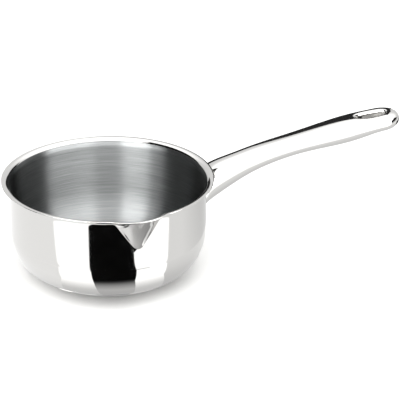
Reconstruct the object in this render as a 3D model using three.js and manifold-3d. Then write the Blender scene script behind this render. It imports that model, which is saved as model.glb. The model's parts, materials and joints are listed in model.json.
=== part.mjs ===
// A 14 cm stainless steel saucepan with a pouring lip and a hollow welded handle.
// Millimetres, +Z up. The origin is the middle of the base where it stands on the hob,
// +X runs along the handle and the lip pours to -Y, within 2 degrees.
import * as THREE from 'three';
import { mergeVertices } from 'three/addons/utils/BufferGeometryUtils.js';
import Module from 'manifold-3d';

const wasm = await Module();
wasm.setup();

const { degToRad, lerp } = THREE.MathUtils;

// Pan, deep drawn from one sheet
const wallRadius = 70; // outside of the upright wall
const panSheet = 0.8;
const rimHeight = 72.4; // hob to the top of the rim
const bellyHeight = 34.5; // where the round belly turns into the upright wall
const bottomRadius = 46.5; // flat bottom of the drawn sheet
const flareRadius = 5; // underside of the turned-out rim
const rimLand = 1; // flat edge beyond the flare

// Pouring lip, pressed into the wall
const lipAngle = degToRad(-88.2);
const lipDepth = 25; // rim down to the lip's point
const lipReach = 4.2; // beak beyond the rim
const lipLand = 2; // turned-out edge left on the beak
const lipSpread = degToRad(17.8); // half angle across the beak
const pointSpread = degToRad(1.8); // half angle across the rounded point
const rimEase = 1.5; // creases fade out towards the rim, 1 keeps them sharp

// Base, a heat spreader closed in by a cap
const capSheet = 0.6;
const spreaderThickness = 3.4;
const standRadius = 38; // flat that stands on the hob
const capReach = 3.5; // how far the cap climbs the belly

// Handle, two pressings welded along their edges
const handleSheet = 0.9;
const handleLength = 150; // wall to tip
const noseLength = 15; // rounded end
const tipRise = 20.9; // tip above the rim
const eyeHeight = 12.2;
const eyeWidth = 29.6;
const sectionPower = 2.3; // a little squarer than an ellipse
// Sections from root to nose, as shares of the length, the tip's rise and the eye's height and width
const handleShares = [
  { out: -0.0333, rise: -1.077, height: 1.393, width: 1.115 },
  { out: 0, rise: -0.833, height: 1.574, width: 1.047 },
  { out: 0.0467, rise: -0.555, height: 1.869, width: 0.959 },
  { out: 0.1667, rise: -0.177, height: 1.541, width: 0.811 },
  { out: 0.3, rise: 0.153, height: 1.246, width: 0.757 },
  { out: 0.5, rise: 0.469, height: 1.131, width: 0.797 },
  { out: 0.7333, rise: 0.737, height: 1.32, width: 0.959 },
  { out: 1 - noseLength / handleLength, rise: 0.928, height: 1, width: 1 },
];

// Hanging slot through the handle's end
const slotLength = 23;
const slotWidth = 9.5;
const slotRound = 2.4; // edge turned in
const slotFromTip = 20.5; // tip to the slot's middle

// Saddle that carries the handle on the wall
const saddleSheet = 1.2;
const saddleDepth = 9;
const nubRadius = 2; // weld projections on its back
const nubSpacing = 10;

// Fits
const fitGap = 0.3; // between pieces shaped to each other
const seamGap = 0.2; // between the handle's two halves
const weldGap = 0.1; // nub to wall

// Facets
const lipColumns = 12;
const wallColumns = 52;
const wallRows = 4;
const sectionColumns = 22;
const handleRows = 28;
const noseRows = 6;

const bottomHeight = capSheet + spreaderThickness;
const flareStart = rimHeight - panSheet - flareRadius;
const rimRadius = wallRadius + flareRadius + rimLand;
const pointHeight = rimHeight - lipDepth;
const handleSections = handleShares.map((share) => ({
  out: share.out * handleLength,
  rise: share.rise * tipRise,
  height: share.height * eyeHeight,
  width: share.width * eyeWidth,
}));

const bodySteel = steel('#d6d5d3', 0.16);
const baseSteel = steel('#c4c4c3', 0.3);
const handleSteel = steel('#dededd', 0.08);
const saddleSteel = steel('#b9b9b8', 0.4);
const spreaderAluminium = steel('#cfd2d4', 0.45);

function steel(color, roughness) {
  return new THREE.MeshStandardMaterial({ color, roughness, metalness: 1 });
}

// Closed surface through rows of points. The first and last row are single points.
function loft(rows) {
  const start = [];
  const positions = [];
  for (const row of rows) {
    start.push(positions.length / 3);
    for (const point of row) positions.push(point.x, point.y, point.z);
  }
  const index = [];
  for (let i = 0; i + 1 < rows.length; i += 1) {
    const [low, high] = [rows[i].length, rows[i + 1].length];
    for (let j = 0; j < Math.max(low, high); j += 1) {
      const a = start[i] + (j % low);
      const b = start[i] + ((j + 1) % low);
      const c = start[i + 1] + ((j + 1) % high);
      const d = start[i + 1] + (j % high);
      if (low > 1) index.push(a, b, c);
      if (high > 1) index.push(a, c, d);
    }
  }
  const geometry = new THREE.BufferGeometry();
  geometry.setAttribute('position', new THREE.Float32BufferAttribute(positions, 3));
  geometry.setIndex(index);
  return geometry;
}

function toSolid(geometry) {
  const bare = geometry.clone();
  bare.deleteAttribute('normal');
  bare.deleteAttribute('uv');
  const merged = mergeVertices(bare, 1e-4);
  const vertProperties = new Float32Array(merged.attributes.position.array);
  const triVerts = new Uint32Array(merged.index.array);
  return new wasm.Manifold(new wasm.Mesh({ numProp: 3, vertProperties, triVerts }));
}

function toGeometry(solid) {
  const { vertProperties, triVerts } = solid.getMesh();
  const geometry = new THREE.BufferGeometry();
  geometry.setAttribute('position', new THREE.Float32BufferAttribute(vertProperties, 3));
  geometry.setIndex(new THREE.Uint32BufferAttribute(triVerts, 1));
  geometry.computeVertexNormals();
  return geometry;
}

// A profile of (radius, height) points, moved to its left by a distance.
function offsetProfile(points, distance) {
  const last = points.length - 1;
  return points.map((point, i) => {
    const along = new THREE.Vector2().subVectors(
      points[Math.min(i + 1, last)],
      points[Math.max(i - 1, 0)],
    );
    along.normalize();
    return new THREE.Vector2(point.x - along.y * distance, point.y + along.x * distance);
  });
}

function evenAngles(count) {
  return Array.from({ length: count }, (_, i) => (2 * Math.PI * i) / count);
}

function ring(profilePoint, angles) {
  const { x: radius, y: height } = profilePoint;
  if (radius < 1e-6) return [new THREE.Vector3(0, 0, height)];
  return angles.map((a) => new THREE.Vector3(radius * Math.cos(a), radius * Math.sin(a), height));
}

function revolve(points) {
  const angles = evenAngles(lipColumns + wallColumns);
  return loft(points.map((point) => ring(point, angles)));
}

// Outside of the pan from the middle of its bottom to the edge of the rim.
function panProfile() {
  const path = new THREE.Path();
  const bellyOut = wallRadius - bottomRadius;
  path.moveTo(0, bottomHeight);
  path.lineTo(bottomRadius, bottomHeight);
  path.absellipse(bottomRadius, bellyHeight, bellyOut, bellyHeight - bottomHeight, -Math.PI / 2, 0);
  for (let i = 0; i <= wallRows; i += 1) {
    path.lineTo(wallRadius, lerp(pointHeight, flareStart, i / wallRows));
  }
  path.absarc(wallRadius + flareRadius, flareStart, flareRadius, Math.PI, Math.PI / 2, true);
  path.lineTo(rimRadius, flareStart + flareRadius);
  return path.getPoints(4);
}

// The wall swells into the lip: a straight ridge from the point to the beak, two creases beside it.
function panBody() {
  const outside = panProfile();
  const edge = outside.length - 1;
  const pointRow = outside.findIndex((p) => p.x === wallRadius && p.y === pointHeight);
  const run = [0];
  for (let i = 1; i <= edge; i += 1) run.push(run[i - 1] + outside[i].distanceTo(outside[i - 1]));
  const climb = run.map((r) => (r - run[pointRow]) / (run[edge - 1] - run[pointRow]));

  const beak = new THREE.Vector2(rimRadius + lipReach, outside[edge].y);
  const beakRoot = new THREE.Vector2(beak.x - lipLand, beak.y);
  const ridge = outside.map((p, i) => {
    if (i === edge) return beak;
    return i < pointRow ? p : outside[pointRow].clone().lerp(beakRoot, climb[i]);
  });

  const shells = [
    { wall: outside, ridge },
    { wall: offsetProfile(outside, panSheet), ridge: offsetProfile(ridge, panSheet) },
  ];
  const [outer, inner] = shells.map((shell) => shell.wall.map((p, i) => {
    const up = Math.min(climb[i], 1);
    const spread = i < pointRow
      ? lerp(lipSpread, pointSpread, i / pointRow)
      : lerp(pointSpread, lipSpread, up);
    return lipRow(p, shell.ridge[i], spread, lerp(1, rimEase, Math.max(up, 0)));
  }));
  return loft([...outer, ...inner.reverse()]);
}

function lipRow(wallPoint, ridgePoint, spread, ease) {
  if (wallPoint.x < 1e-6) return ring(wallPoint, []);
  const row = [];
  const rest = 2 * (Math.PI - spread);
  for (let i = 0; i < lipColumns + wallColumns; i += 1) {
    const across = (2 * i) / lipColumns - 1; // -1 and 1 at the creases
    const swell = i < lipColumns ? (1 - across * across) ** ease : 0;
    const turn = i < lipColumns
      ? spread * across
      : spread + (rest * (i - lipColumns)) / wallColumns;
    row.push(...ring(wallPoint.clone().lerp(ridgePoint, swell), [lipAngle + turn]));
  }
  return row;
}

// Outside of the cap: flat on the hob, then rounding up to lie along the belly.
function capProfile() {
  const across = wallRadius - bottomRadius;
  const upright = bellyHeight - bottomHeight;
  const turn = Math.acos(1 - capReach / upright);
  const onBelly = new THREE.Vector2(
    bottomRadius + across * Math.sin(turn),
    bottomHeight + capReach,
  );
  const along = new THREE.Vector2(across * Math.cos(turn), upright * Math.sin(turn)).normalize();
  const stand = fitGap + capSheet;
  const edge = new THREE.Vector2(onBelly.x + along.y * stand, onBelly.y - along.x * stand);
  const corner = edge.x - (edge.y * along.x) / along.y;
  const path = new THREE.Path();
  path.moveTo(0, 0);
  path.lineTo(standRadius, 0);
  path.quadraticCurveTo(corner, 0, edge.x, edge.y);
  return path.getPoints(5);
}

function baseCap() {
  const outside = capProfile();
  return revolve([...outside, ...offsetProfile(outside, capSheet).reverse()]);
}

// Fills the cap up to the pan's bottom, flat face to flat face.
function heatSpreader() {
  const rounded = offsetProfile(capProfile(), capSheet + fitGap).slice(2);
  const below = rounded.filter((p) => p.y < bottomHeight - fitGap);
  const rimPoint = below[below.length - 1];
  return revolve([
    new THREE.Vector2(0, capSheet),
    new THREE.Vector2(standRadius, capSheet),
    ...below,
    new THREE.Vector2(rimPoint.x, bottomHeight),
    new THREE.Vector2(0, bottomHeight),
  ]);
}

// All that lies within a distance of the pan's outside, to shape the handle's root.
function panReach(distance) {
  const near = offsetProfile(panProfile(), -distance);
  const top = near[near.length - 1];
  const above = rimHeight + 2 * flareRadius;
  return toSolid(revolve([
    ...near,
    new THREE.Vector2(top.x + distance, top.y),
    new THREE.Vector2(top.x + distance, above),
    new THREE.Vector2(0, above),
  ]));
}

// The same about the upright wall alone.
function wallReach(distance) {
  const radius = wallRadius + distance;
  return toSolid(revolve([
    new THREE.Vector2(0, 0),
    new THREE.Vector2(radius, 0),
    new THREE.Vector2(radius, 2 * rimHeight),
    new THREE.Vector2(0, 2 * rimHeight),
  ]));
}

const middleLine = new THREE.SplineCurve(
  handleSections.map((s) => new THREE.Vector2(wallRadius + s.out, rimHeight + s.rise)),
);
const crossSize = new THREE.SplineCurve(
  handleSections.map((s) => new THREE.Vector2(s.height, s.width)),
);

// Middle, half height and half width of every row along the handle.
function handleStations() {
  const stations = [];
  for (let i = 0; i <= handleRows; i += 1) {
    const middle = middleLine.getPoint(i / handleRows);
    const size = crossSize.getPoint(i / handleRows);
    stations.push({ middle, up: size.x / 2, side: size.y / 2 });
  }
  const eye = stations[handleRows].middle;
  const tip = new THREE.Vector2(wallRadius + handleLength, rimHeight + tipRise);
  for (let i = 1; i <= noseRows; i += 1) {
    const turn = (i / noseRows) * (Math.PI / 2);
    const taper = i === noseRows ? 0 : Math.cos(turn);
    stations.push({
      middle: eye.clone().lerp(tip, Math.sin(turn)),
      up: (eyeHeight / 2) * Math.sqrt(taper),
      side: (eyeWidth / 2) * taper,
    });
  }
  return stations;
}

// Half a step round from the seam, so that the seam runs between two columns.
const sectionAngles = evenAngles(sectionColumns).map((a) => a + Math.PI / sectionColumns);

function roundPower(value) {
  return Math.sign(value) * Math.abs(value) ** (2 / sectionPower);
}

// The handle's form, made smaller all round by an inset.
function handleForm(inset) {
  const stations = handleStations();
  const tip = stations.pop().middle;
  const rows = stations.filter((s) => s.up > inset && s.side > inset).map((s) => (
    sectionAngles.map((a) => new THREE.Vector3(
      s.middle.x,
      (s.side - inset) * roundPower(Math.cos(a)),
      s.middle.y + (s.up - inset) * roundPower(Math.sin(a)),
    ))
  ));
  const root = stations[0].middle;
  rows.unshift([new THREE.Vector3(root.x, 0, root.y)]);
  rows.push([new THREE.Vector3(tip.x - inset, 0, tip.y)]);
  return toSolid(loft(rows));
}

// A long hole whose edges open out in a round at both faces of the handle.
function slotForm(grow) {
  const out = handleLength - slotFromTip;
  const stations = handleStations();
  const after = stations.findIndex((s) => s.middle.x > wallRadius + out);
  const [from, to] = [stations[after - 1], stations[after]];
  const share = (wallRadius + out - from.middle.x) / (to.middle.x - from.middle.x);
  const middle = from.middle.clone().lerp(to.middle, share);
  const half = lerp(from.up, to.up, share);
  const tilt = to.middle.clone().sub(from.middle).angle();

  const heights = [0];
  for (let i = 0; i <= 4; i += 1) heights.push(half - slotRound * Math.cos((i * Math.PI) / 8));
  heights.push(half + slotRound);
  const levels = [...heights.slice(1).reverse().map((h) => -h), ...heights];
  const rows = levels.map((level) => {
    const depth = THREE.MathUtils.clamp(Math.abs(level) - half + slotRound, 0, slotRound);
    const open = grow + slotRound - Math.sqrt(slotRound ** 2 - depth ** 2);
    return evenAngles(sectionColumns).map((a) => new THREE.Vector3(
      (slotLength / 2 + open) * roundPower(Math.cos(a)),
      (slotWidth / 2 + open) * roundPower(Math.sin(a)),
      level,
    ));
  });
  rows.unshift([new THREE.Vector3(0, 0, levels[0])]);
  rows.push([new THREE.Vector3(0, 0, levels[levels.length - 1])]);
  const geometry = loft(rows);
  geometry.rotateY(-tilt);
  geometry.translate(middle.x, 0, middle.y);
  return toSolid(geometry);
}

// Everything above (side 1) or below (side -1) the seam along the handle's middle.
function seamSide(side) {
  const line = handleStations().map((s) => s.middle);
  const width = 2 * eyeWidth;
  const far = rimHeight;
  const shape = new THREE.Shape();
  shape.moveTo(line[0].x - far, line[0].y + side * far);
  shape.lineTo(line[0].x - far, line[0].y + (side * seamGap) / 2);
  for (const point of line) shape.lineTo(point.x, point.y + (side * seamGap) / 2);
  const end = line[line.length - 1];
  shape.lineTo(end.x + far, end.y + (side * seamGap) / 2);
  shape.lineTo(end.x + far, end.y + side * far);
  const geometry = new THREE.ExtrudeGeometry(shape, { depth: width, bevelEnabled: false });
  geometry.rotateX(Math.PI / 2);
  geometry.translate(0, width / 2, 0);
  return toSolid(geometry);
}

function handleShells() {
  const outside = handleForm(0);
  const hollow = outside.subtract(handleForm(handleSheet));
  const collar = outside.intersect(slotForm(handleSheet));
  const shell = hollow.add(collar).subtract(slotForm(0)).subtract(panReach(fitGap));
  return [shell.intersect(seamSide(1)), shell.intersect(seamSide(-1))];
}

// A shallow dish inside the handle's root: its back lies on the wall, its skirt in the handle.
function handleSaddle() {
  const inset = handleSheet + fitGap;
  const filled = handleForm(inset).intersect(wallReach(fitGap + saddleDepth));
  const scooped = handleForm(inset + saddleSheet).subtract(wallReach(fitGap + saddleSheet));
  let saddle = filled.subtract(scooped).subtract(panReach(fitGap));
  const rise = rimHeight + handleSections[1].rise;
  const length = fitGap - weldGap + saddleSheet / 2;
  for (const across of [-1, 1]) {
    for (const up of [-0.5, 0.5]) {
      const turn = (across * nubSpacing) / 2 / wallRadius;
      const nub = new THREE.CylinderGeometry(nubRadius, nubRadius, length, 12);
      nub.rotateZ(-Math.PI / 2);
      nub.translate(wallRadius + weldGap + length / 2, 0, rise + (up * nubSpacing) / 2);
      nub.rotateZ(turn);
      saddle = saddle.add(toSolid(nub));
    }
  }
  return saddle;
}

function addPart(group, name, geometry, material) {
  const mesh = new THREE.Mesh(geometry, material);
  mesh.name = name;
  group.add(mesh);
}

const saucepan = new THREE.Group();
saucepan.name = 'saucepan';
const [upperShell, lowerShell] = handleShells();
addPart(saucepan, 'pan_body', panBody(), bodySteel);
addPart(saucepan, 'heat_spreader', heatSpreader(), spreaderAluminium);
addPart(saucepan, 'base_cap', baseCap(), baseSteel);
addPart(saucepan, 'handle_saddle', toGeometry(handleSaddle()), saddleSteel);
addPart(saucepan, 'handle_upper_shell', toGeometry(upperShell), handleSteel);
addPart(saucepan, 'handle_lower_shell', toGeometry(lowerShell), handleSteel);

export default saucepan;
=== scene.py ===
import json
import math

import bmesh
import bpy
import numpy as np
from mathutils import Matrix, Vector

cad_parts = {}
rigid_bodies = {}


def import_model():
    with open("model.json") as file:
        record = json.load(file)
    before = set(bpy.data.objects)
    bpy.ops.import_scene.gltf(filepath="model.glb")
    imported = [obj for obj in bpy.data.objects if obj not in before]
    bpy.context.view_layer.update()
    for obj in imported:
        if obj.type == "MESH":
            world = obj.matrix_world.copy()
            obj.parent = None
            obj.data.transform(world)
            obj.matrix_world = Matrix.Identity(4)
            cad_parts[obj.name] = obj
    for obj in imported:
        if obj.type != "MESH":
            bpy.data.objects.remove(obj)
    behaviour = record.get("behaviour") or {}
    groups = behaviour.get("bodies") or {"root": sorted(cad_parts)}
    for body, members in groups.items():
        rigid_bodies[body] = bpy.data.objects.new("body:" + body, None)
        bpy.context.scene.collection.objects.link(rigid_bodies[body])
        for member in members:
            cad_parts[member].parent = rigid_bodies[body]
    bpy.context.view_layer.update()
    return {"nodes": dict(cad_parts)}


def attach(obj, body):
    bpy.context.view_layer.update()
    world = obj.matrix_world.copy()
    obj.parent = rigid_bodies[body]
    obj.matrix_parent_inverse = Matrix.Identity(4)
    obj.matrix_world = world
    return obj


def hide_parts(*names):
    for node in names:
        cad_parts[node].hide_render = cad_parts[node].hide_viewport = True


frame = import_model()
mm = 0.001  # the pan's sizes are in millimetres, Blender works in metres
seamGap = 0.001  # points of a turned sheet that are closer than this are one
sharpAngle = math.radians(40)  # edges bent further than this stay crisp
print("frame loaded:", sorted(frame["nodes"]))


# Small helpers


def linearColour(hexCode):  # sRGB hex to the linear values that shaders take
    channels = [int(hexCode[i:i + 2], 16) / 255 for i in (1, 3, 5)]
    return [c / 12.92 if c <= 0.04045 else ((c + 0.055) / 1.055) ** 2.4 for c in channels] + [1.0]


def addNode(tree, kind, inputs=None, **settings):
    node = tree.nodes.new(kind)
    for name, value in settings.items():
        setattr(node, name, value)
    for key, value in (inputs or {}).items():
        if isinstance(value, bpy.types.Node):
            value = value.outputs[0]
        if isinstance(value, bpy.types.NodeSocket):
            tree.links.new(value, node.inputs[key])
        else:
            node.inputs[key].default_value = value
    return node


def newMetal(name, look):  # bare, to be given its texture
    material = bpy.data.materials.new(name)
    material.use_nodes = True
    shader = material.node_tree.nodes["Principled BSDF"]
    shader.inputs["Base Color"].default_value = linearColour(look["colour"])
    shader.inputs["Metallic"].default_value = 1.0
    shader.inputs["Roughness"].default_value = look["roughness"][0]
    return material, material.node_tree, shader


def addPiece(name, mesh, slotName, *nodes):
    piece = bpy.data.objects.new(name, mesh)
    bpy.context.scene.collection.objects.link(piece)
    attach(piece, "root")
    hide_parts(*nodes)


# Finishes: noise is the range that a pattern seldom leaves, spread is how far its lines draw out the light


polishedLook = {
    "colour": "#CFCECC", "roughness": (0.045, 0.085), "noise": (0.3, 0.7),
    "hazeSize": 9.0, "hazeDetail": 3.0, "rippleSize": 26.0, "rippleDepth": 0.03,
}


def polishedStainless():
    # 18/10 stainless, drawn and buffed to a mirror: crisp reflections under a thin uneven buffing haze
    look = polishedLook
    material, tree, shader = newMetal("polishedStainless", look)
    place = addNode(tree, "ShaderNodeTexCoord").outputs["Object"]
    haze = addNode(tree, "ShaderNodeTexNoise", {
        "Vector": place, "Scale": 1 / (look["hazeSize"] * mm), "Detail": look["hazeDetail"]})
    gloss = addNode(tree, "ShaderNodeMapRange", {
        "Value": haze, "From Min": look["noise"][0], "From Max": look["noise"][1],
        "To Min": look["roughness"][0], "To Max": look["roughness"][1]})
    tree.links.new(gloss.outputs[0], shader.inputs["Roughness"])
    ripple = addNode(tree, "ShaderNodeTexNoise", {
        "Vector": place, "Scale": 1 / (look["rippleSize"] * mm), "Detail": 0.0})
    bump = addNode(tree, "ShaderNodeBump", {
        "Height": ripple, "Strength": 1.0, "Distance": look["rippleDepth"] * mm})
    tree.links.new(bump.outputs[0], shader.inputs["Normal"])
    return material


satinShadedLook = {
    # colour, dark and light are painted shade: a steel grey far darker than the outside's, with real
    # brush-line variation between dark and light
    "colour": "#676969", "dark": "#575959", "light": "#797A7A",
    "grazing": "#8A8A8A",  # brushed steel mirrors less at a flat angle than polished steel does
    "roughness": (0.34, 0.42), "noise": (0.3, 0.7), "spread": 1.0,
    "streakLength": 30.0, "streakWidth": 0.3, "streakDepth": 0.02,
    "streakDetail": 4.0, "streakRoughness": 0.65,
}


def satinStainless():
    # the same sheet, brushed round and round inside: light spreads across the lines, so bands stand upright.
    # Its dark grey is painted shade: far darker than the sheet's own steel, to darken the pan's inside
    look = satinShadedLook
    material, tree, shader = newMetal("satinStainless", look)
    shader.inputs["Anisotropic"].default_value = look["spread"]
    shader.inputs["Specular Tint"].default_value = linearColour(look["grazing"])
    shader.inputs["Anisotropic Rotation"].default_value = 0.25  # a quarter turn, across the lines
    place = addNode(tree, "ShaderNodeTexCoord").outputs["Object"]
    tangent = addNode(tree, "ShaderNodeVectorMath", {0: (0.0, 0.0, 1.0), 1: place}, operation="CROSS_PRODUCT")
    tree.links.new(tangent.outputs[0], shader.inputs["Tangent"])
    x, y, z = addNode(tree, "ShaderNodeSeparateXYZ", {0: place}).outputs
    flat = addNode(tree, "ShaderNodeCombineXYZ", {"X": x, "Y": y})
    radius = addNode(tree, "ShaderNodeVectorMath", {0: flat}, operation="LENGTH").outputs["Value"]
    climb = addNode(tree, "ShaderNodeMath", {0: radius, 1: z}, operation="ADD")  # over the bottom, then up
    along = 1 / (look["streakLength"] * mm)
    across = 1 / (look["streakWidth"] * mm)  # real brush lines are 0.1 mm apart, drawn coarser to show
    lines = addNode(tree, "ShaderNodeCombineXYZ", {
        "X": addNode(tree, "ShaderNodeMath", {0: x, 1: along}, operation="MULTIPLY"),
        "Y": addNode(tree, "ShaderNodeMath", {0: y, 1: along}, operation="MULTIPLY"),
        "Z": addNode(tree, "ShaderNodeMath", {0: climb, 1: across}, operation="MULTIPLY"),
    })
    streaks = addNode(tree, "ShaderNodeTexNoise", {
        "Vector": lines, "Scale": 1.0, "Detail": look["streakDetail"], "Roughness": look["streakRoughness"]})
    tone = addNode(tree, "ShaderNodeMapRange", {
        "Value": streaks, "From Min": look["noise"][0], "From Max": look["noise"][1]})
    grey = addNode(tree, "ShaderNodeMix", {
        "Factor": tone, 6: linearColour(look["dark"]), 7: linearColour(look["light"])}, data_type="RGBA")
    tree.links.new(grey.outputs[2], shader.inputs["Base Color"])
    gloss = addNode(tree, "ShaderNodeMapRange", {
        "Value": tone, "To Min": look["roughness"][0], "To Max": look["roughness"][1]})
    tree.links.new(gloss.outputs[0], shader.inputs["Roughness"])
    bump = addNode(tree, "ShaderNodeBump", {
        "Height": streaks, "Strength": 1.0, "Distance": look["streakDepth"] * mm})
    tree.links.new(bump.outputs[0], shader.inputs["Normal"])
    return material


turnedLook = {
    "colour": "#C6C6C4", "roughness": (0.24, 0.34), "noise": (0.25, 0.75), "spread": 0.7,
    "ringWidth": 0.9, "ringDepth": 0.01, "ringDetail": 4.0,
}


def turnedStainless():
    # ferritic base steel faced on a lathe: fine rings that pull highlights out into a cross
    look = turnedLook
    material, tree, shader = newMetal("turnedStainless", look)
    shader.inputs["Anisotropic"].default_value = look["spread"]
    shader.inputs["Anisotropic Rotation"].default_value = 0.25  # a quarter turn, across the rings
    place = addNode(tree, "ShaderNodeTexCoord").outputs["Object"]
    tangent = addNode(tree, "ShaderNodeVectorMath", {0: (0.0, 0.0, 1.0), 1: place}, operation="CROSS_PRODUCT")
    tree.links.new(tangent.outputs[0], shader.inputs["Tangent"])
    radius = addNode(tree, "ShaderNodeVectorMath", {0: place}, operation="LENGTH").outputs["Value"]
    ring = addNode(tree, "ShaderNodeMath", {0: radius, 1: 1 / (look["ringWidth"] * mm)}, operation="MULTIPLY")
    rings = addNode(tree, "ShaderNodeTexNoise", {
        "W": ring, "Scale": 1.0, "Detail": look["ringDetail"]}, noise_dimensions="1D")
    gloss = addNode(tree, "ShaderNodeMapRange", {
        "Value": rings, "From Min": look["noise"][0], "From Max": look["noise"][1],
        "To Min": look["roughness"][0], "To Max": look["roughness"][1]})
    tree.links.new(gloss.outputs[0], shader.inputs["Roughness"])
    bump = addNode(tree, "ShaderNodeBump", {
        "Height": rings, "Strength": 1.0, "Distance": look["ringDepth"] * mm})
    tree.links.new(bump.outputs[0], shader.inputs["Normal"])
    return material


millLooks = {
    "pressedStainless": {"colour": "#BDBDBB", "roughness": (0.3, 0.46), "grain": 1.5, "grainDetail": 4.0},
    "rolledAluminium": {"colour": "#D3D5D7", "roughness": (0.34, 0.5), "grain": 0.8, "grainDetail": 4.0},
}


def millMetal(name):
    # sheet as it leaves the press or the mill: dull, with a fine rolled grain
    look = millLooks[name]
    material, tree, shader = newMetal(name, look)
    place = addNode(tree, "ShaderNodeTexCoord").outputs["Object"]
    speckle = addNode(tree, "ShaderNodeTexNoise", {
        "Vector": place, "Scale": 1 / (look["grain"] * mm), "Detail": look["grainDetail"]})
    gloss = addNode(tree, "ShaderNodeMapRange", {
        "Value": speckle, "To Min": look["roughness"][0], "To Max": look["roughness"][1]})
    tree.links.new(gloss.outputs[0], shader.inputs["Roughness"])
    return material


polished = polishedStainless()
satin = satinStainless()
turned = turnedStainless()
hiddenFinishes = {"handle_saddle": "pressedStainless", "heat_spreader": "rolledAluminium"}
for nodeName, metal in hiddenFinishes.items():  # these two show as the solids
    frame["nodes"][nodeName].data.materials.clear()
    frame["nodes"][nodeName].data.materials.append(millMetal(metal))
print("finishes made")


# Pan and base cap: sheets turned from a profile, one of them with a pouring lip


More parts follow.
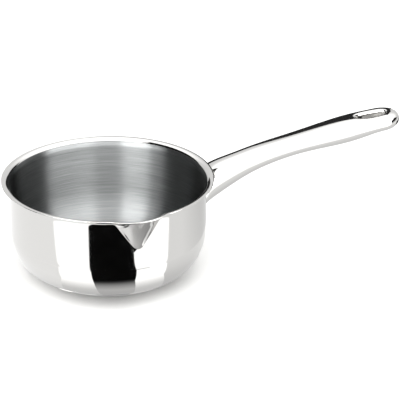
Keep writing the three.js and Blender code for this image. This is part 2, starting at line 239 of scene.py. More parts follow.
def sheetTree():
    tree = bpy.data.node_groups.new("turnedSheet", "GeometryNodeTree")
    tree.interface.new_socket("Sheet", in_out="OUTPUT", socket_type="NodeSocketGeometry")
    for name, kind in (
            ("Profile", "Geometry"), ("Lip Columns", "Int"), ("Wall Columns", "Int"), ("Lip Angle", "Float"),
            ("Lip Spread", "Float"), ("Point Spread", "Float"), ("Rim Ease", "Float"), ("Finish", "Material"),
            ("Second Finish", "Material")):
        tree.interface.new_socket(name, in_out="INPUT", socket_type="NodeSocket" + kind)
    given = addNode(tree, "NodeGroupInput").outputs
    profile, lipColumns, wallColumns = given["Profile"], given["Lip Columns"], given["Wall Columns"]

    # a grid with a row for each point of the profile
    size = addNode(tree, "GeometryNodeAttributeDomainSize", {"Geometry": profile}, component="MESH")
    rows = size.outputs["Point Count"]
    columns = addNode(tree, "ShaderNodeMath", {0: lipColumns, 1: wallColumns}, operation="ADD")
    posts = addNode(tree, "ShaderNodeMath", {0: columns, 1: 1.0}, operation="ADD")
    grid = addNode(tree, "GeometryNodeMeshGrid", {
        "Size X": 1.0, "Size Y": 1.0, "Vertices X": posts, "Vertices Y": rows})
    u, v, _ = addNode(tree, "ShaderNodeSeparateXYZ", {0: addNode(tree, "GeometryNodeInputPosition")}).outputs
    u = addNode(tree, "ShaderNodeMath", {0: u, 1: 0.5}, operation="ADD")
    v = addNode(tree, "ShaderNodeMath", {0: v, 1: 0.5}, operation="ADD")
    column = addNode(tree, "ShaderNodeMath", {0: u, 1: columns}, operation="MULTIPLY")
    lastRow = addNode(tree, "ShaderNodeMath", {0: rows, 1: 1.0}, operation="SUBTRACT")
    row = addNode(tree, "ShaderNodeMath", {0: v, 1: lastRow}, operation="MULTIPLY")
    row = addNode(tree, "FunctionNodeFloatToInt", {0: row}, rounding_mode="ROUND")

    wall = addNode(tree, "GeometryNodeSampleIndex", {
        "Geometry": profile, "Index": row}, data_type="FLOAT_VECTOR", domain="POINT")
    tree.links.new(addNode(tree, "GeometryNodeInputPosition").outputs[0], wall.inputs["Value"])
    sampled = {}
    for name, kind in (("ridge", "FLOAT_VECTOR"), ("climb", "FLOAT"), ("finish", "FLOAT")):
        stored = addNode(tree, "GeometryNodeInputNamedAttribute", {"Name": name}, data_type=kind)
        sampled[name] = addNode(tree, "GeometryNodeSampleIndex", {
            "Geometry": profile, "Index": row}, data_type=kind, domain="POINT")
        tree.links.new(stored.outputs["Attribute"], sampled[name].inputs["Value"])

    # the lip's share of the columns is narrow at its point and widens up to the rim
    height = addNode(tree, "ShaderNodeMath", {0: sampled["climb"]}, operation="ABSOLUTE")
    spread = addNode(tree, "ShaderNodeMapRange", {
        "Value": height, "To Min": given["Point Spread"], "To Max": given["Lip Spread"]})
    across = addNode(tree, "ShaderNodeMath", {0: column, 1: lipColumns}, operation="DIVIDE")
    across = addNode(tree, "ShaderNodeMath", {  # -1 and 1 at the creases
        0: across, 1: 2.0, 2: -1.0}, operation="MULTIPLY_ADD")
    inLip = addNode(tree, "ShaderNodeMath", {0: across, 1: 1.0}, operation="MINIMUM")
    lipTurn = addNode(tree, "ShaderNodeMath", {0: inLip, 1: spread}, operation="MULTIPLY")
    past = addNode(tree, "ShaderNodeMath", {0: column, 1: lipColumns}, operation="SUBTRACT")
    past = addNode(tree, "ShaderNodeMath", {0: past, 1: 0.0}, operation="MAXIMUM")
    past = addNode(tree, "ShaderNodeMath", {0: past, 1: wallColumns}, operation="DIVIDE")
    rest = addNode(tree, "ShaderNodeMath", {0: spread, 1: -2.0, 2: 2 * math.pi}, operation="MULTIPLY_ADD")
    turn = addNode(tree, "ShaderNodeMath", {0: past, 1: rest, 2: lipTurn}, operation="MULTIPLY_ADD")
    angle = addNode(tree, "ShaderNodeMath", {0: turn, 1: given["Lip Angle"]}, operation="ADD")

    # it swells from the wall to the ridge, with creases that fade out towards the rim
    ease = addNode(tree, "ShaderNodeMapRange", {
        "Value": sampled["climb"], "To Min": 1.0, "To Max": given["Rim Ease"]})
    square = addNode(tree, "ShaderNodeMath", {0: across, 1: across}, operation="MULTIPLY")
    bulge = addNode(tree, "ShaderNodeMath", {0: 1.0, 1: square}, operation="SUBTRACT")
    bulge = addNode(tree, "ShaderNodeMath", {0: bulge, 1: 0.0}, operation="MAXIMUM")
    swell = addNode(tree, "ShaderNodeMath", {0: bulge, 1: ease}, operation="POWER")
    pull = addNode(tree, "ShaderNodeVectorMath", {0: sampled["ridge"], 1: wall}, operation="SUBTRACT")
    point = addNode(tree, "ShaderNodeVectorMath", {0: pull, 1: swell, 2: wall}, operation="MULTIPLY_ADD")
    radius, _, rise = addNode(tree, "ShaderNodeSeparateXYZ", {0: point}).outputs
    cosine = addNode(tree, "ShaderNodeMath", {0: angle}, operation="COSINE")
    sine = addNode(tree, "ShaderNodeMath", {0: angle}, operation="SINE")
    place = addNode(tree, "ShaderNodeCombineXYZ", {
        "X": addNode(tree, "ShaderNodeMath", {0: radius, 1: cosine}, operation="MULTIPLY"),
        "Y": addNode(tree, "ShaderNodeMath", {0: radius, 1: sine}, operation="MULTIPLY"),
        "Z": rise,
    })

    marked = addNode(tree, "GeometryNodeStoreNamedAttribute", {
        "Geometry": grid, "Name": "finish", "Value": sampled["finish"]}, data_type="FLOAT", domain="POINT")
    shaped = addNode(tree, "GeometryNodeSetPosition", {"Geometry": marked, "Position": place})
    closed = addNode(tree, "GeometryNodeMergeByDistance", {"Geometry": shaped, "Distance": seamGap * mm})
    smooth = addNode(tree, "GeometryNodeSetShadeSmooth", {"Geometry": closed})
    real = addNode(tree, "GeometryNodeRealizeInstances", {"Geometry": smooth})
    first = addNode(tree, "GeometryNodeSetMaterial", {"Geometry": real, "Material": given["Finish"]})
    mark = addNode(tree, "GeometryNodeInputNamedAttribute", {"Name": "finish"}, data_type="FLOAT")
    chosen = addNode(tree, "ShaderNodeMath", {  # only faces with every corner marked
        0: mark.outputs["Attribute"], 1: 0.9}, operation="GREATER_THAN")
    second = addNode(tree, "GeometryNodeSetMaterial", {
        "Geometry": first, "Selection": chosen, "Material": given["Second Finish"]})
    addNode(tree, "NodeGroupOutput", {"Sheet": second})
    return tree


def bakeSheet(tree, rows, values):  # rows of wall point, ridge point, climb and finish
    host = bpy.data.objects.new("profile", bpy.data.meshes.new("profile"))
    bpy.context.scene.collection.objects.link(host)
    wall, ridge = ([(r * mm, 0.0, z * mm) for r, z in rows[name]] for name in ("wall", "ridge"))
    host.data.from_pydata(wall, [(i, i + 1) for i in range(len(wall) - 1)], [])
    stored = host.data.attributes.new("ridge", "FLOAT_VECTOR", "POINT")
    stored.data.foreach_set("vector", np.array(ridge).ravel())
    for name in ("climb", "finish"):
        stored = host.data.attributes.new(name, "FLOAT", "POINT")
        stored.data.foreach_set("value", np.array(rows[name], float))
    modifier = host.modifiers.new("turned sheet", "NODES")
    modifier.node_group = tree
    for item in tree.interface.items_tree:
        if item.name in values:
            modifier[item.identifier] = values[item.name]
    graph = bpy.context.evaluated_depsgraph_get()
    mesh = bpy.data.meshes.new_from_object(host.evaluated_get(graph))
    mesh.attributes.remove(mesh.attributes["finish"])
    host.modifiers.clear()
    bpy.data.objects.remove(host)
    return mesh


def arc(centre, size, start, end, steps):
    turn = np.radians(np.linspace(start, end, steps + 1))
    return np.column_stack((centre[0] + size[0] * np.cos(turn), centre[1] + size[1] * np.sin(turn)))


def line(start, end, steps):
    return np.linspace(start, end, steps + 1)


def joinRuns(*runs):  # one run of points, without those that repeat
    points = np.vstack(runs)
    step = np.linalg.norm(np.diff(points, axis=0), axis=1)
    return points[np.concatenate(([True], step > 1e-6))]


def leftOf(points, distance):  # a run of points moved to its left
    along = np.gradient(points, axis=0)
    along /= np.linalg.norm(along, axis=1)[:, None]
    return points + distance * np.column_stack((-along[:, 1], along[:, 0]))


def runLength(points):
    return np.concatenate(([0.0], np.cumsum(np.linalg.norm(np.diff(points, axis=0), axis=1))))


def alongRun(points, lengths):
    run = runLength(points)
    return np.column_stack([np.interp(lengths, run, points[:, i]) for i in (0, 1)])


panSizes = {
    "wallRadius": 70.0, "sheet": 0.8, "bottomRadius": 46.5, "bottomHeight": 4.0, "bellyHeight": 34.5,
    "rimHeight": 72.4, "flareRadius": 5.0, "rimLand": 1.0, "edgeRound": 0.12,
    "buffedTurn": 44.0,  # degrees of the flare's inside that stay polished
    "lipAngle": -88.2, "lipDepth": 25.0, "lipReach": 4.2, "lipLand": 2.0, "beakRound": 1.0,
    "lipSpread": 17.8, "pointSpread": 1.8, "rimEase": 1.5, "lipColumns": 80, "wallColumns": 300,
    "bottomSteps": 8, "bellySteps": 32, "wallSteps": 6, "lipSteps": 22, "flareSteps": 14, "landSteps": 2,
    "edgeSteps": 4, "ridgeSteps": 40, "beakSteps": 20, "beakLandSteps": 4,
}


def panOutside():  # from the middle of the bottom to the flat edge of the rim
    sizes = panSizes
    wall, bottom, flare = sizes["wallRadius"], sizes["bottomRadius"], sizes["flareRadius"]
    belly = (wall - bottom, sizes["bellyHeight"] - sizes["bottomHeight"])
    pointHeight = sizes["rimHeight"] - sizes["lipDepth"]
    flareStart = sizes["rimHeight"] - sizes["sheet"] - flare
    edge = wall + flare + sizes["rimLand"] - sizes["edgeRound"]
    return joinRuns(
        line((0.0, sizes["bottomHeight"]), (bottom, sizes["bottomHeight"]), sizes["bottomSteps"]),
        arc((bottom, sizes["bellyHeight"]), belly, -90, 0, sizes["bellySteps"]),
        line((wall, sizes["bellyHeight"]), (wall, pointHeight), sizes["wallSteps"]),
        line((wall, pointHeight), (wall, flareStart), sizes["lipSteps"]),
        arc((wall + flare, flareStart), (flare, flare), 180, 90, sizes["flareSteps"]),
        line((wall + flare, flareStart + flare), (edge, flareStart + flare), sizes["landSteps"]),
    )


def panRows():
    sizes = panSizes
    outside = panOutside()
    rim = sizes["wallRadius"] + sizes["flareRadius"] + sizes["rimLand"]
    under = outside[-1, 1]
    pointRow = sizes["bottomSteps"] + sizes["bellySteps"] + sizes["wallSteps"]
    flareEnd = len(outside) - 1 - sizes["landSteps"]
    run = runLength(outside)
    climb = (run - run[pointRow]) / (run[flareEnd] - run[pointRow])  # 0 at the lip's point, 1 at the rim
    below = np.linspace(-1, 0, pointRow + 1)[np.minimum(np.arange(len(run)), pointRow)]
    climb = np.where(climb < 0, below, climb)

    # straight ridge from the point, bent in a small round into the beak's flat edge
    beak = np.array((rim + sizes["lipReach"] - sizes["edgeRound"], under))
    root = np.array((rim + sizes["lipReach"] - sizes["lipLand"], under))
    rise = (root - outside[pointRow]) / np.linalg.norm(root - outside[pointRow])
    bend = math.acos(rise[0])
    back = sizes["beakRound"] * math.tan(bend / 2)
    left = np.array((-rise[1], rise[0]))
    middle = root - back * rise - sizes["beakRound"] * left
    turnFrom = math.degrees(math.atan2(left[1], left[0]))
    path = joinRuns(
        line(outside[pointRow], root - back * rise, sizes["ridgeSteps"]),
        arc(middle, (sizes["beakRound"], sizes["beakRound"]), turnFrom, 90, sizes["beakSteps"]),
        line(root + (back, 0.0), beak, sizes["beakLandSteps"]),
    )
    pathRun = runLength(path)
    bendEnd = pathRun[sizes["ridgeSteps"] + sizes["beakSteps"]]
    onLand = (run - run[flareEnd]) / (run[-1] - run[flareEnd]) * (pathRun[-1] - bendEnd)
    share = np.where(climb <= 1, climb * bendEnd, bendEnd + onLand)
    ridge = outside.copy()
    ridge[pointRow:] = alongRun(path, share[pointRow:])

    corner = sizes["edgeRound"]
    edge = joinRuns(
        arc((rim - corner, under + corner), (corner, corner), -90, 0, sizes["edgeSteps"]),
        arc((rim - corner, sizes["rimHeight"] - corner), (corner, corner), 0, 90, sizes["edgeSteps"]),
    )
    inside, insideRidge = leftOf(outside, sizes["sheet"])[::-1], leftOf(ridge, sizes["sheet"])[::-1]
    flare = sizes["sheet"] + sizes["flareRadius"]
    satinFrom = sizes["rimHeight"] - flare * (1 - math.cos(math.radians(sizes["buffedTurn"])))
    return {
        "wall": np.vstack((outside, edge[1:-1], inside)),
        "ridge": np.vstack((ridge, edge[1:-1] + (sizes["lipReach"], 0.0), insideRidge)),
        "climb": np.concatenate((climb, np.ones(len(edge) - 2), climb[::-1])),
        "finish": np.concatenate((np.zeros(len(outside) + len(edge) - 2), inside[:, 1] <= satinFrom)),
    }


turnedSheet = sheetTree()
panMesh = bakeSheet(turnedSheet, panRows(), {
    "Lip Columns": panSizes["lipColumns"], "Wall Columns": panSizes["wallColumns"],
    "Lip Angle": math.radians(panSizes["lipAngle"]), "Lip Spread": math.radians(panSizes["lipSpread"]),
    "Point Spread": math.radians(panSizes["pointSpread"]), "Rim Ease": panSizes["rimEase"],
    "Finish": polished, "Second Finish": satin,
})
addPiece("panBody", panMesh, "pan_steel", "pan_body")
print("pan body:", len(panMesh.polygons), "faces")

capSizes = {
    "sheet": 0.6, "standRadius": 38.0, "reach": 3.5, "gap": 0.05, "edge": 0.02,  # feathered out at its edge
    "turnedHeight": 0.05,  # what lies lower is faced on the lathe
    "flatSteps": 12, "curveSteps": 24, "columns": 240, "firstColumns": 8,  # the columns that a lip would have
}


def capRows():
    sizes, pan = capSizes, panSizes
    belly = (pan["wallRadius"] - pan["bottomRadius"], pan["bellyHeight"] - pan["bottomHeight"])
    turn = math.acos(1 - sizes["reach"] / belly[1])
    along = np.array((belly[0] * math.cos(turn), belly[1] * math.sin(turn)))
    along /= np.linalg.norm(along)
    stand = sizes["gap"] + sizes["edge"]
    edge = np.array((pan["bottomRadius"] + belly[0] * math.sin(turn), pan["bottomHeight"] + sizes["reach"]))
    edge += stand * np.array((along[1], -along[0]))
    corner = np.array((edge[0] - edge[1] * along[0] / along[1], 0.0))
    start = np.array((sizes["standRadius"], 0.0))
    t = np.linspace(0, 1, sizes["curveSteps"] + 1)[:, None]
    curve = (1 - t) ** 2 * start + 2 * t * (1 - t) * corner + t ** 2 * edge
    outside = joinRuns(line((0.0, 0.0), start, sizes["flatSteps"]), curve)
    panRun = panOutside()
    room = np.array([np.linalg.norm(panRun - point, axis=1).min() for point in outside])
    inside = leftOf(outside, np.clip(room - sizes["gap"], sizes["edge"], sizes["sheet"])[:, None])[::-1]
    wall = np.vstack((outside, inside))
    flat = np.concatenate((outside[:, 1] < sizes["turnedHeight"], np.zeros(len(inside))))
    return {"wall": wall, "ridge": wall, "climb": np.ones(len(wall)), "finish": flat}


capMesh = bakeSheet(turnedSheet, capRows(), {
    "Lip Columns": capSizes["firstColumns"], "Wall Columns": capSizes["columns"] - capSizes["firstColumns"],
    "Lip Angle": 0.0, "Lip Spread": math.pi * capSizes["firstColumns"] / capSizes["columns"],
    "Point Spread": 0.0, "Rim Ease": 1.0, "Finish": polished, "Second Finish": turned,
})
capMesh.set_sharp_from_angle(angle=sharpAngle)
addPiece("baseCap", capMesh, "base_steel", "base_cap")
print("base cap:", len(capMesh.polygons), "faces")


# Handle: two pressings with a hanging slot, welded along their edges


handleSizes = {
    "sheet": 0.9, "length": 150.0, "nose": 15.0, "tipRise": 20.9, "rootGap": 0.05,
    "power": 2.3,  # how square the sections are, 2 for an ellipse
    "out": (-5, 0, 7, 25, 45, 75, 110, 135),  # sections, measured from the wall and the rim
    "rise": (-22.5, -17.4, -11.6, -3.7, 3.2, 9.8, 15.4, 19.4),
    "height": (17, 19.2, 22.8, 18.8, 15.2, 13.8, 16.1, 12.2),
    "width": (33, 31, 28.4, 24, 22.4, 23.6, 28.4, 29.6),
    "noseRun": 20.0,  # how fast the middle line runs into the nose
    "slotLength": 23.0, "slotWidth": 9.5, "slotRound": 2.4, "slotFromTip": 20.5,
    "rootEnd": 3.5, "slotFrom": 3.0, "eyeStart": 6.05,  # section numbers that bound root, slot and eye
    "rootSamples": 1401, "slotSamples": 4000, "bodySamples": 2000,
    "columns": 64, "rows": 130, "rings": 20, "roundSteps": 10, "tubeSteps": 4,
    "seamColumns": 44, "tipCrowding": 1.6,  # they lie closer together towards the tip
    "merge": 0.002, "leastFace": 1e-8,  # closer points are one, and smaller faces go
}
sections = len(handleSizes["out"]) - 1  # the nose runs from this section number to the next


def splineThrough(values, endSlope):  # smooth through evenly numbered values, free at its start
    values = np.array(values, float)
    count = len(values)
    matrix = np.eye(count)
    side = np.zeros(count)
    matrix[0, :2] = 2, 1
    side[0] = 3 * (values[1] - values[0])
    side[-1] = endSlope
    for i in range(1, count - 1):
        matrix[i, i - 1:i + 2] = 1, 4, 1
        side[i] = 3 * (values[i + 1] - values[i - 1])
    slope = np.linalg.solve(matrix, side)

    def at(t):
        i = np.clip(np.floor(t).astype(int), 0, count - 2)
        u = t - i
        a, b = values[i], values[i + 1]
        return (a * (1 + 2 * u) * (1 - u) ** 2 + slope[i] * u * (1 - u) ** 2
                + b * u * u * (3 - 2 * u) + slope[i + 1] * u * u * (u - 1))

    return at


noseSlope = (handleSizes["tipRise"] - handleSizes["rise"][-1]) / handleSizes["nose"]
middleOut = splineThrough(handleSizes["out"], handleSizes["noseRun"])
middleRise = splineThrough(handleSizes["rise"], handleSizes["noseRun"] * noseSlope)
fullHeight = splineThrough(handleSizes["height"], 0.0)
fullWidth = splineThrough(handleSizes["width"], 0.0)


def handleSection(number, inset):  # middle x and z, half height and half width
    number = np.asarray(number, float)
    main = np.minimum(number, sections)
    turn = np.clip(number - sections, 0, 1) * math.pi / 2
    taper = np.maximum(np.cos(turn), 0)
    forward = np.sin(turn) * (handleSizes["nose"] - inset)
    x = panSizes["wallRadius"] + middleOut(main) + forward
    z = panSizes["rimHeight"] + middleRise(main) + forward * noseSlope
    up = (fullHeight(main) / 2 - inset) * np.sqrt(taper)
    side = (fullWidth(main) / 2 - inset) * taper
    return x, z, up, side


def roundPower(value):
    return np.sign(value) * np.abs(value) ** (2 / handleSizes["power"])


def handlePoint(number, angle, inset, half):  # half is 1 for the upper pressing and -1 for the lower one
    x, z, up, side = handleSection(number, inset)
    across = side * roundPower(np.cos(angle))
    return np.stack((x + 0 * angle, across, z + half * up * roundPower(np.sin(angle))), -1)


def rootNumber(angle, inset, half):  # where each line along the handle comes off the pan
    outside = panOutside()
    rim = panSizes["wallRadius"] + panSizes["flareRadius"] + panSizes["rimLand"]
    reach = np.vstack((outside, (rim, outside[-1, 1])))
    number = np.linspace(0, handleSizes["rootEnd"], handleSizes["rootSamples"])
    point = handlePoint(number[:, None], angle[None, :], inset, half)
    wall = np.interp(point[..., 2], reach[:, 1], reach[:, 0], right=0.0)
    inPan = np.hypot(point[..., 0], point[..., 1]) < wall + handleSizes["rootGap"]
    last = len(number) - 1 - np.argmax(inPan[::-1], axis=0)
    return number[last]


slotMiddle = panSizes["wallRadius"] + handleSizes["length"] - handleSizes["slotFromTip"]
slotNumbers = np.linspace(handleSizes["slotFrom"], sections + 1, handleSizes["slotSamples"])
middleX, middleZ, _, _ = handleSection(slotNumbers, 0.0)
slotRise = float(np.interp(slotMiddle, middleX, middleZ))
slotTilt = math.atan(float(np.interp(slotMiddle, middleX, np.gradient(middleZ, middleX))))
slotAlong = np.array((math.cos(slotTilt), 0.0, math.sin(slotTilt)))
slotUp = np.array((-math.sin(slotTilt), 0.0, math.cos(slotTilt)))


def onHandle(along, across, inset, half):  # section number and angle over a place in the slot's plane
    low, high = np.full(along.shape, handleSizes["slotFrom"]), np.full(along.shape, sections + 0.999)
    power = handleSizes["power"]
    for _ in range(50):  # halves the range until nothing is left of it
        number = (low + high) / 2
        x, z, up, side = handleSection(number, inset)
        share = np.clip(np.abs(across) / side, 0, 1)
        top = z + half * up * (1 - share ** power) ** (1 / power)
        beyond = (x - slotMiddle) * slotAlong[0] + (top - slotRise) * slotAlong[2] > along
        low, high = np.where(beyond, low, number), np.where(beyond, number, high)
    angle = np.arccos(np.sign(across) * share ** (power / 2))
    return number, angle


def slotOval(turn, grow):
    along = (handleSizes["slotLength"] / 2 + grow) * roundPower(np.cos(turn))
    across = (handleSizes["slotWidth"] / 2 + grow) * roundPower(np.sin(turn))
    return along, across


def mouthRows(turn, edgeNumber, edgeAngle, inset, half):  # from the eye's edge into the slot, to the seam
    bend = handleSizes["slotRound"] - inset
    startNumber, startAngle = onHandle(*slotOval(turn, inset + bend), inset, half)
    t = np.linspace(0, 1, handleSizes["rings"] + 1)[:, None]
    number = edgeNumber + (startNumber - edgeNumber) * t
    rows = handlePoint(number, edgeAngle + (startAngle - edgeAngle) * t, inset, half)
    start = rows[-1]
    corner = handlePoint(*onHandle(*slotOval(turn, inset), inset, half), inset, half)
    end = corner - half * bend * slotUp
    near = 0.5523  # makes the bend nearly circular
    a, b = start + near * (corner - start), end + near * (corner - end)
    t = np.linspace(0, 1, handleSizes["roundSteps"] + 1)[1:, None, None]
    turnIn = (1 - t) ** 3 * start + 3 * t * (1 - t) ** 2 * a + 3 * t * t * (1 - t) * b + t ** 3 * end
    foot = end.copy()
    for _ in range(6):  # moves along the slot until it meets the seam
        foot += (np.interp(foot[:, 0], middleX, middleZ) - foot[:, 2])[:, None] * slotUp
    t = np.linspace(0, 1, handleSizes["tubeSteps"] + 1)[1:, None, None]
    return np.concatenate((rows, turnIn, end + (foot - end) * t))


def addGrid(form, points, flip, closed=False):
    made = [[form.verts.new(p * mm) for p in row] for row in points]
    if closed:
        made = [row + row[:1] for row in made]
    for low, high in zip(made, made[1:]):
        for i in range(len(low) - 1):
            quad = (low[i], low[i + 1], high[i + 1], high[i])
            form.faces.new(quad[::-1] if flip else quad)


def handleHalf(half):
    sizes = handleSizes
    form = bmesh.new()
    turnBack = half < 0
    angles = np.linspace(0, math.pi, sizes["columns"] + 1)
    share = np.linspace(0, 1, sizes["rows"] + 1)[:, None]
    numbers = np.linspace(0, sizes["eyeStart"], sizes["bodySamples"])
    x, z, _, _ = handleSection(numbers, 0.0)
    run = runLength(np.column_stack((x, z)))

    skins = []
    for inset in (0.0, sizes["sheet"]):
        reach = np.interp(rootNumber(angles, inset, half), numbers, run)
        rowNumber = np.interp(reach + (run[-1] - reach) * share, run, numbers)
        skins.append(handlePoint(rowNumber, angles[None, :], inset, half))
    outer, inner = skins
    addGrid(form, outer, turnBack)
    addGrid(form, inner, not turnBack)
    addGrid(form, (inner[0], outer[0]), turnBack)
    addGrid(form, (outer[:, 0], inner[:, 0]), not turnBack)
    addGrid(form, (inner[:, -1], outer[:, -1]), not turnBack)

    # rings about the slot, out to the seam, the tip and the last row of the body
    steps = np.linspace(0, 1, sizes["seamColumns"] + 1)[1:]
    eyeLength = sections + 1 - sizes["eyeStart"]
    seam = sizes["eyeStart"] + eyeLength * (1 - (1 - steps) ** sizes["tipCrowding"])
    side = np.zeros(len(seam) - 1)
    edgeNumber = np.concatenate((np.full(len(angles), sizes["eyeStart"]), seam, seam[-2::-1]))
    edgeAngle = np.concatenate((angles[::-1], side, (math.pi / 2,), side + math.pi))
    x, _, _, width = handleSection(edgeNumber, 0.0)
    y = width * roundPower(np.cos(edgeAngle))
    back = slotMiddle - x[0]
    front = panSizes["wallRadius"] + sizes["length"] - slotMiddle
    turn = np.arctan2(y / (sizes["width"][-1] / 2), (x - slotMiddle) / np.where(x < slotMiddle, back, front))
    outer, inner = (mouthRows(turn, edgeNumber, edgeAngle, inset, half) for inset in (0.0, sizes["sheet"]))
    addGrid(form, outer, turnBack, closed=True)
    addGrid(form, inner, not turnBack, closed=True)
    addGrid(form, (outer[-1], inner[-1]), turnBack, closed=True)
    rim = np.concatenate((np.arange(len(angles) - 1, len(edgeNumber)), (0,)))
    addGrid(form, (inner[0][rim], outer[0][rim]), turnBack)

    bmesh.ops.remove_doubles(form, verts=form.verts, dist=sizes["merge"] * mm)
    loose = [face for face in form.faces if face.calc_area() < sizes["leastFace"] * mm ** 2]
    bmesh.ops.delete(form, geom=loose, context="FACES")
    openEdges = [edge for edge in form.edges if not edge.is_manifold]
    print("handle half", half, "faces", len(form.faces), "open edges", len(openEdges))
    mesh = bpy.data.meshes.new("handleHalf")
    form.to_mesh(mesh)
    form.free()
    mesh.materials.append(polished)
    mesh.shade_smooth()
    mesh.set_sharp_from_angle(angle=sharpAngle)
    return mesh


addPiece("handleUpper", handleHalf(1), "handle_steel", "handle_upper_shell")
addPiece("handleLower", handleHalf(-1), "handle_steel", "handle_lower_shell")
print("handle made")


# Camera, at the photograph's angle and distance


cameraSizes = {  # in metres, the lens and the sensor in millimetres
    "place": (-0.4792, -1.7593, 0.8795), "target": (0.0627, -0.0195, 0.0550), "lens": 251.8, "sensor": 36.0,
    "sight": 50.0,
}
cameraData = bpy.data.cameras.new("camera")
cameraData.lens, cameraData.sensor_width = cameraSizes["lens"], cameraSizes["sensor"]
cameraData.clip_end = cameraSizes["sight"]
camera = bpy.data.objects.new("camera", cameraData)
camera.location = cameraSizes["place"]
sightLine = Vector(cameraSizes["target"]) - Vector(cameraSizes["place"])
camera.rotation_euler = sightLine.to_track_quat("-Z", "Y").to_euler()
bpy.context.scene.collection.objects.link(camera)
bpy.context.scene.camera = camera


# Studio: pale floor, soft sky of light, and cards that only reflections see


studioSizes = {  # in metres
    "floorRadius": 4.0, "floorSides": 96, "floorColour": "#F4F4F3", "floorRoughness": 0.9,
    "backdropHeight": 8.0, "backdropGlow": 1.05, "skyBright": 1.9,
    "skySteps": ((2, 0.3), (13, 0.5), (26, 0.52), (50, 1.0)),  # degrees above the horizon, share of the light
}


def addStage(name, points, faces, material, glow=None, onlySeenBy=None):
    mesh = bpy.data.meshes.new(name)
    mesh.from_pydata(points, [], faces)
    mesh.materials.append(material)
    if glow is not None:
        stored = mesh.attributes.new("glow", "FLOAT", "POINT")
        stored.data.foreach_set("value", np.array(glow, np.float32))
    card = bpy.data.objects.new(name, mesh)
    bpy.context.scene.collection.objects.link(card)
    if onlySeenBy:
        for ray in ("camera", "diffuse", "glossy", "transmission", "volume_scatter", "shadow"):
            setattr(card, "visible_" + ray, ray == onlySeenBy)


def glowingCard():  # as bright as the mesh's own glow says
    material = bpy.data.materials.new("cardGlow")
    material.use_nodes = True
    tree = material.node_tree
    tree.nodes.clear()
    glow = addNode(tree, "ShaderNodeAttribute", attribute_name="glow").outputs["Fac"]
    light = addNode(tree, "ShaderNodeEmission", {"Color": linearColour("#FFFFFF"), "Strength": glow})
    addNode(tree, "ShaderNodeOutputMaterial", {"Surface": light})
    return material


def paleFloor():  # matt seamless paper
    material = bpy.data.materials.new("paleFloor")
    material.use_nodes = True
    shader = material.node_tree.nodes["Principled BSDF"]
    shader.inputs["Base Color"].default_value = linearColour(studioSizes["floorColour"])
    shader.inputs["Roughness"].default_value = studioSizes["floorRoughness"]
    shader.inputs["Specular IOR Level"].default_value = 0.0
    return material


sides, floorRadius = studioSizes["floorSides"], studioSizes["floorRadius"]
floorRing = [(floorRadius * math.cos(turn), floorRadius * math.sin(turn), 0.0)
             for turn in np.linspace(0, 2 * math.pi, sides, endpoint=False)]
addStage("floor", floorRing, [tuple(range(sides))], paleFloor())
cardGlow = glowingCard()
backdrop = floorRing + [(x, y, studioSizes["backdropHeight"]) for x, y, _ in floorRing]
backdropFaces = [(i, (i + 1) % sides, sides + (i + 1) % sides, sides + i) for i in range(sides)]
backdropGlow = [studioSizes["backdropGlow"]] * len(backdrop)
addStage("backdrop", backdrop, backdropFaces, cardGlow, backdropGlow, "camera")

cardSizes = {  # in metres, with angles in degrees from the front
    "front": -107.3, "columns": 24, "lift": 0.0005, "nearRing": 0.08, "farRing": 0.126, "wallRing": 0.62,
    "curb": 0.0241, "curbFull": 0.006,  # the curb's height, and where it has its full glow
    "farFrom": -0.0135, "farTo": 0.5, "sideTo": 0.4,  # how far the far strips run, from their ring
}
# where each edge of a strip crosses its ring and which way it then runs, or one angle if it runs straight out
nearEdges = {
    "sideLeft": -150, "left": (-36.6, -38.0), "blackLeft": (-9.9, -20.5), "blackRight": (21.9, 22.0),
    "right": (47.0, 47.0), "sideRight": 104,
}
farEdges = {
    "sideLeft": -150, "left": (-43.2, -71.2), "blackLeft": (-14.2, -22.4), "blackRight": (25.0, 23.6),
    "right": (55.3, 80.5), "sideRight": 150,
}
curbLean = {"left": 3.5, "blackLeft": 0.0, "blackRight": -1.6, "right": -3.7}  # degrees gained up the curb


def addCard(name, ring, first, last, rows, lean=(0.0, 0.0)):
    # a row is its distance from the ring, its height and the glow along it
    first, last = np.broadcast_to(first, 2), np.broadcast_to(last, 2)
    points, faces, glow = [], [], []
    for share in np.linspace(0, 1, cardSizes["columns"] + 1):
        cross, run = np.radians(cardSizes["front"] + first + share * (last - first))
        for distance, height, values in rows:
            at = cross + math.radians(lean[0] + share * (lean[1] - lean[0])) * height / cardSizes["curb"]
            x = ring * math.cos(at) + distance * math.cos(run)
            y = ring * math.sin(at) + distance * math.sin(run)
            points.append((x, y, cardSizes["lift"] + height))
            glow.append(np.interp(share, np.linspace(0, 1, len(values)), values))
    for i in range(cardSizes["columns"]):
        for j in range(len(rows) - 1):
            a, b = i * len(rows) + j, (i + 1) * len(rows) + j
            faces.append((a, b, b + 1, a + 1))
    addStage(name, points, faces, cardGlow, glow, "glossy")


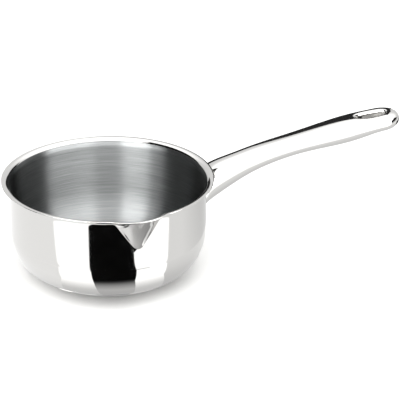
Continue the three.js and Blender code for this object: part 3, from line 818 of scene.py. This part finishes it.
# before the pan: near strips with a low curb for the belly, and far strips behind it for the wall
curb, nearRing, farRing = cardSizes["curb"], cardSizes["nearRing"], cardSizes["farRing"]
footPlaces = (-0.041, -0.016, -0.009, -0.003, 0)  # from under the belly out to the ring
frontStrips = {  # edges, glow, and glow at the foot places
    "White": ("left", "blackLeft", 1.75, (0.4, 0.9, 1.25, 1.6, 1.72)),
    "Pale": ("blackRight", "right", 1.75, (0.4, 0.9, 1.25, 1.6, 1.72)),
    "Black": ("blackLeft", "blackRight", 0.003, (0.4, 0.68, 0.45, 0.18, 0.05)),
}
for name, (first, last, glow, fade) in frontStrips.items():
    nearRows = [(place, 0, (value,)) for place, value in zip(footPlaces, fade)]
    nearRows += [(0, cardSizes["curbFull"], (glow,)), (0, curb, (glow,))]
    farRows = [(cardSizes["farFrom"], 0, (glow,)), (cardSizes["farTo"], 0, (glow,))]
    lean = (curbLean[first], curbLean[last])
    addCard("cardNear" + name, nearRing, nearEdges[first], nearEdges[last], nearRows, lean)
    addCard("cardFar" + name, farRing, farEdges[first], farEdges[last], farRows)

# beside them: grey at the handle's side, pale at the other
greyRows = [(-0.037, 0, (0.4,)), (-0.016, 0, (0.75,)), (0, 0, (0.9,)), (0, curb, (1.05,))]
leftRows = [(-0.037, 0, (0.5,)), (-0.014, 0, (1.12,)), (0, 0, (1.22,)), (0.033, 0, (1.22,))]
farGrey, farLeft = (1.08, 1.08, 0.95, 0.82, 0.8, 0.8), (1.22,)
greyLean = (curbLean["right"], 0.0)
addCard("cardNearGrey", nearRing, nearEdges["right"], nearEdges["sideRight"], greyRows, greyLean)
addCard("cardNearLeft", nearRing, nearEdges["sideLeft"], nearEdges["left"], leftRows)
sideStrips = {"Left": ("sideLeft", "left", farLeft), "Grey": ("right", "sideRight", farGrey)}
for name, (first, last, glow) in sideStrips.items():
    farRows = [(cardSizes["farFrom"], 0, glow), (cardSizes["sideTo"], 0, glow)]
    addCard("cardFar" + name, farRing, farEdges[first], farEdges[last], farRows)

# a dark ring just over the floor, for the rim's cut edge
edgeCard = {"ring": 0.2235, "edges": (-85, 46), "height": 0.001, "depth": 0.3, "glow": (0.06,)}
edgeRows = [(place, edgeCard["height"], edgeCard["glow"]) for place in (0, edgeCard["depth"])]
addCard("cardEdge", edgeCard["ring"], *edgeCard["edges"], edgeRows)

# between the near and the far strips, hidden by the curb from the belly, what the lip's flanks see
lipPlaces = (0.001, 0.018, 0.026, 0.032)  # from the near ring, two for each half
lipCards = {  # edges, and the glow of the nearer and the farther half
    "Left": (-42, -2, (1.16,), (1.16,)),
    "Middle": (-2, 48, (1.16, 0.8, 0.7, 0.64, 0.52, 0.45), (1.16, 0.66, 0.58, 0.52, 0.46, 0.42)),
    "Right": (48, 104, (0.4,), (0.4,)),
}
for name, (first, last, near, far) in lipCards.items():
    lipRows = [(place, 0, values) for place, values in zip(lipPlaces, (near, near, far, far))]
    addCard("cardLip" + name, nearRing, first, last, lipRows)

# a small one over them for the top of the lip's ridge
lipTop = {
    "ring": 0.112, "edges": (24.6, 37), "height": 0.0004,
    "glow": ((0, 0.62), (0.0035, 0.55), (0.0058, 1.1)),  # place from its ring, glow
}
lipTopRows = [(place, lipTop["height"], (glow,)) for place, glow in lipTop["glow"]]
addCard("cardLipTop", lipTop["ring"], *lipTop["edges"], lipTopRows)

# standing round the front and the sides, for the brushed inside
wallCards = {  # edges, top, glow low and high, share of it across the card, and lean of the last edge
    "DarkLeft": (-138, -72, 1.6, 0.01, 0.01, (1.0,), 0.0),
    "GreyLeft": (-72, -52, 0.7, 7.0, 7.3, (1.0,), 0.0),
    "BrightLeft": (-52, -17, 0.7, 20.0, 23.5, (1.0,), 0.0),
    "Middle": (-17, 20, 0.7, 10.6, 10.6, (1.0,), 0.0),
    "GreyRight": (20, 76, 0.7, 8.6, 16.5, (1.25, 1.15, 1.0, 0.92, 0.85), 0.5),
}
dim, dimTo, lowFrom, highFrom = 0.5, 0.16, 0.24, 0.42  # share of the low glow near the floor, and heights
for name, (first, last, top, low, high, shares, lean) in wallCards.items():
    steps = ((0, dim * low), (dimTo, dim * low), (lowFrom, low), (highFrom, high), (top, high))
    wallRows = [(0, height, [share * glow for share in shares]) for height, glow in steps]
    addCard("wall" + name, cardSizes["wallRing"], first, last, wallRows, (0.0, lean))
darkRight = {"edges": (84, 116), "heights": (0.2, 0.5), "glow": (0.01,)}
darkRows = [(0, height, darkRight["glow"]) for height in darkRight["heights"]]
addCard("wallDarkRight", cardSizes["wallRing"], *darkRight["edges"], darkRows)

# behind the handle, low enough that only its flat top sees it, and on the floor past its tip
darkGlow, backY = 0.03, 0.24
backLine = ((0.05, 0.14), (0.13, 0.17), (0.19, 0.235), (0.33, 0.345))  # place along the handle, height
backCard = [(x, backY, z) for x, top in backLine for z in (0.0, top)]
backFaces = [(i, i + 2, i + 3, i + 1) for i in range(0, len(backCard) - 2, 2)]
addStage("cardBehind", backCard, backFaces, cardGlow, [darkGlow] * len(backCard), "glossy")
tipX, tipY, tipHeight = (0.34, 0.56), (0.03, 0.3), 0.001
tipCard = [(tipX[i], tipY[j], tipHeight) for i, j in ((0, 0), (1, 0), (1, 1), (0, 1))]
addStage("cardTip", tipCard, [(0, 1, 2, 3)], cardGlow, [darkGlow] * len(tipCard), "glossy")

world = bpy.data.worlds.new("softStudio")
bpy.context.scene.world = world
world.use_nodes = True
sky = world.node_tree
sky.nodes.clear()
direction = addNode(sky, "ShaderNodeTexCoord").outputs["Generated"]
up = addNode(sky, "ShaderNodeSeparateXYZ", {0: direction}).outputs["Z"]
ramp = addNode(sky, "ShaderNodeValToRGB", {"Fac": up})
ramp.color_ramp.interpolation = "EASE"
for degrees, share in studioSizes["skySteps"]:
    step = ramp.color_ramp.elements.new(math.sin(math.radians(degrees)))
    step.color = (share, share, share, 1.0)
ramp.color_ramp.elements.remove(ramp.color_ramp.elements[0])
ramp.color_ramp.elements.remove(ramp.color_ramp.elements[-1])
skyLight = addNode(sky, "ShaderNodeBackground", {"Color": ramp, "Strength": studioSizes["skyBright"]})
addNode(sky, "ShaderNodeOutputWorld", {"Surface": skyLight})
bpy.context.scene.view_settings.view_transform = "Standard"
print("studio lit")
